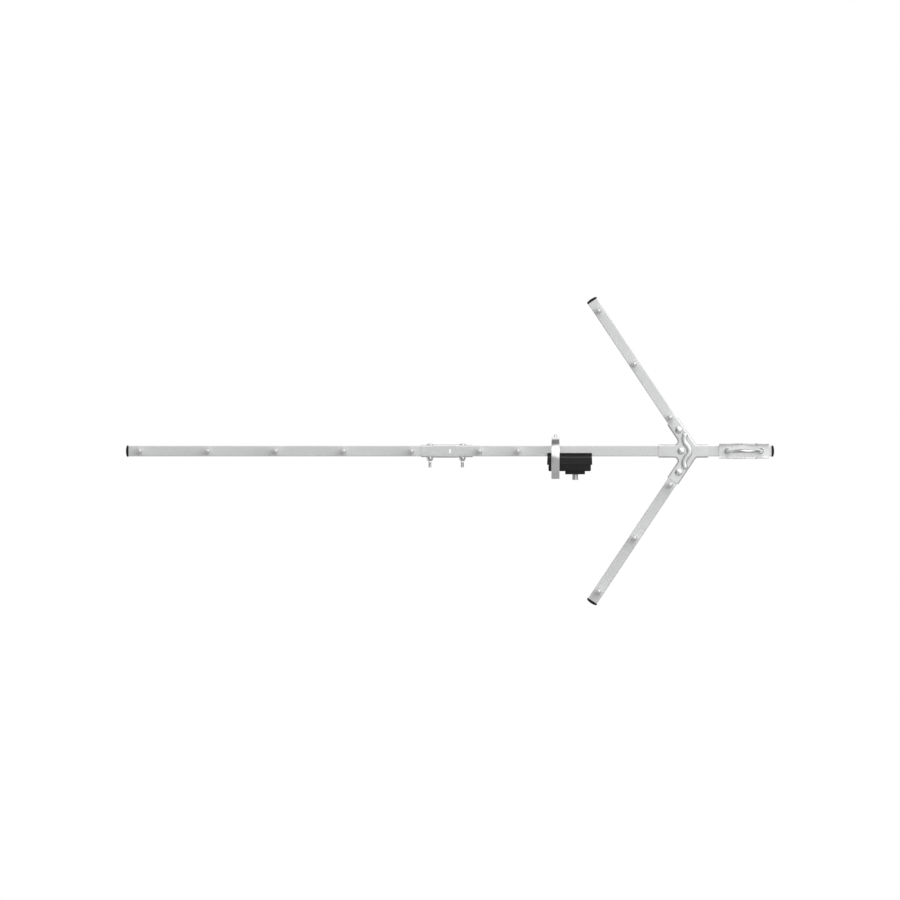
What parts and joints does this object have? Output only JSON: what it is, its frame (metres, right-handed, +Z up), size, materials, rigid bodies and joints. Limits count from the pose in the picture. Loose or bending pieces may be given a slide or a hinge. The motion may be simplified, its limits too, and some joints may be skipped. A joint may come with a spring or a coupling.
{
  "type": "yagi antenna",
  "caption": "UHF corner-reflector yagi antenna with a spliced boom, folded dipole in a feed box and a U-bolt clamp for a vertical mast.",
  "frame": {"origin": "on the mast's axis, at the height of the boom's middle", "axes": "+X along the boom from its front tip to its rear, +Y from the mast to the boom, +Z up along the mast"},
  "size_m": [0.992, 0.33, 0.4738],
  "materials": {
    "aluminium_tube": "satin",
    "aluminium_rod": "satin",
    "aluminium_strip": "bright rolled",
    "plated_sheet": "zinc plated, satin",
    "plated_steel": "zinc plated, bright",
    "cap_plastic": "moulded, matte",
    "box_plastic": "moulded, fine texture",
    "seal_rubber": "matte",
    "board_laminate": "solder mask",
    "ferrite": "sintered",
    "nickel": "nickel plated",
    "white_insulator": "smooth",
    "brass": "bright"
  },
  "bodies": {
    "frame": {"arm_cap_lower": "cap_plastic", "arm_cap_upper": "cap_plastic", "balun_board": "board_laminate", "balun_core": "ferrite", "boom_cap_front": "cap_plastic", "boom_cap_rear": "cap_plastic", "boom_front": "aluminium_tube", "boom_rear": "aluminium_tube", "box_base": "box_plastic", "box_cover": "box_plastic", "box_seal": "seal_rubber", "bracket_bolt_boom": "plated_steel", "bracket_bolt_lower": "plated_steel", "bracket_bolt_upper": "plated_steel", "clamp_bracket": "plated_sheet", "clamp_washer_left": "plated_steel", "clamp_washer_right": "plated_steel", "connector_contact": "brass", "connector_insulator": "white_insulator", "corner_bracket": "plated_sheet", "dipole_nut": "plated_steel", "dipole_screw": "plated_steel", "dipole_spacer": "aluminium_rod", "director_1": "aluminium_rod", "director_2": "aluminium_rod", "director_3": "aluminium_rod", "director_4": "aluminium_rod", "director_5": "aluminium_rod", "director_6": "aluminium_rod", "director_7": "aluminium_rod", "f_connector": "nickel", "folded_dipole": "aluminium_strip", "reflector_arm_lower": "aluminium_tube", "reflector_arm_upper": "aluminium_tube", "reflector_rod_lower_1": "aluminium_rod", "reflector_rod_lower_2": "aluminium_rod", "reflector_rod_lower_3": "aluminium_rod", "reflector_rod_upper_1": "aluminium_rod", "reflector_rod_upper_2": "aluminium_rod", "reflector_rod_upper_3": "aluminium_rod", "splice_bolt_1": "plated_steel", "splice_bolt_2": "plated_steel", "splice_sleeve": "plated_sheet", "terminal_screw_left": "brass", "terminal_screw_right": "brass"},
    "u_bolt": {"u_bolt": "plated_steel"},
    "clamp_nut_left": {"clamp_wing_nut_left": "plated_steel"},
    "clamp_nut_right": {"clamp_wing_nut_right": "plated_steel"},
    "splice_1_washer": {"splice_washer_1": "plated_steel"},
    "splice_1_nut": {"splice_wing_nut_1": "plated_steel"},
    "splice_2_washer": {"splice_washer_2": "plated_steel"},
    "splice_2_nut": {"splice_wing_nut_2": "plated_steel"},
    "bracket_boom_washer": {"bracket_washer_boom": "plated_steel"},
    "bracket_boom_nut": {"bracket_wing_nut_boom": "plated_steel"},
    "bracket_upper_washer": {"bracket_washer_upper": "plated_steel"},
    "bracket_upper_nut": {"bracket_wing_nut_upper": "plated_steel"},
    "bracket_lower_washer": {"bracket_washer_lower": "plated_steel"},
    "bracket_lower_nut": {"bracket_wing_nut_lower": "plated_steel"}
  },
  "joints": [
    {"name": "clamp_nut_left_turn", "type": "hinge", "parent": "frame", "child": "clamp_nut_left", "pos_m": [-0.0257, 0.04277, 0], "axis": [0, 1, 0], "range_deg": [-4320, 3240]},
    {"name": "clamp_nut_right_turn", "type": "hinge", "parent": "frame", "child": "clamp_nut_right", "pos_m": [0.0257, 0.04277, 0], "axis": [0, 1, 0], "range_deg": [-4320, 3240]},
    {"name": "u_bolt_draw", "type": "slide", "parent": "frame", "child": "u_bolt", "axis": [0, 1, 0], "range_m": [-0.00901, 0.01201]},
    {"name": "splice_1_washer_slide", "type": "slide", "parent": "frame", "child": "splice_1_washer", "axis": [0, 0, -1], "range_m": [0, 0.00601]},
    {"name": "splice_1_nut_turn", "type": "hinge", "parent": "splice_1_washer", "child": "splice_1_nut", "pos_m": [-0.4808, 0.03337, -0.0107], "axis": [0, 0, -1], "range_deg": [0, 2700]},
    {"name": "splice_2_washer_slide", "type": "slide", "parent": "frame", "child": "splice_2_washer", "axis": [0, 0, -1], "range_m": [0, 0.00601]},
    {"name": "splice_2_nut_turn", "type": "hinge", "parent": "splice_2_washer", "child": "splice_2_nut", "pos_m": [-0.4311, 0.03337, -0.0107], "axis": [0, 0, -1], "range_deg": [0, 2700]},
    {"name": "bracket_boom_washer_slide", "type": "slide", "parent": "frame", "child": "bracket_boom_washer", "axis": [0, 1, 0], "range_m": [0, 0.00601]},
    {"name": "bracket_boom_nut_turn", "type": "hinge", "parent": "bracket_boom_washer", "child": "bracket_boom_nut", "pos_m": [-0.0968, 0.04277, 0], "axis": [0, 1, 0], "range_deg": [0, 2700]},
    {"name": "bracket_upper_washer_slide", "type": "slide", "parent": "frame", "child": "bracket_upper_washer", "axis": [0, 1, 0], "range_m": [0, 0.00601]},
    {"name": "bracket_upper_nut_turn", "type": "hinge", "parent": "bracket_upper_washer", "child": "bracket_upper_nut", "pos_m": [-0.10046, 0.04277, 0.03226], "axis": [0, 1, 0], "range_deg": [0, 2700]},
    {"name": "bracket_lower_washer_slide", "type": "slide", "parent": "frame", "child": "bracket_lower_washer", "axis": [0, 1, 0], "range_m": [0, 0.00601]},
    {"name": "bracket_lower_nut_turn", "type": "hinge", "parent": "bracket_lower_washer", "child": "bracket_lower_nut", "pos_m": [-0.10046, 0.04277, -0.03226], "axis": [0, 1, 0], "range_deg": [0, 2700]}
  ],
  "couplings": [
    {"joint": "clamp_nut_right_turn", "follows": "clamp_nut_left_turn", "ratio": 1},
    {"joint": "u_bolt_draw", "follows": "clamp_nut_left_turn", "m_per_rad": -0.00015915},
    {"joint": "splice_1_washer_slide", "follows": "splice_1_nut_turn", "m_per_rad": 0.00012732},
    {"joint": "splice_2_washer_slide", "follows": "splice_2_nut_turn", "m_per_rad": 0.00012732},
    {"joint": "bracket_boom_washer_slide", "follows": "bracket_boom_nut_turn", "m_per_rad": 0.00012732},
    {"joint": "bracket_upper_washer_slide", "follows": "bracket_upper_nut_turn", "m_per_rad": 0.00012732},
    {"joint": "bracket_lower_washer_slide", "follows": "bracket_lower_nut_turn", "m_per_rad": 0.00012732}
  ]
}
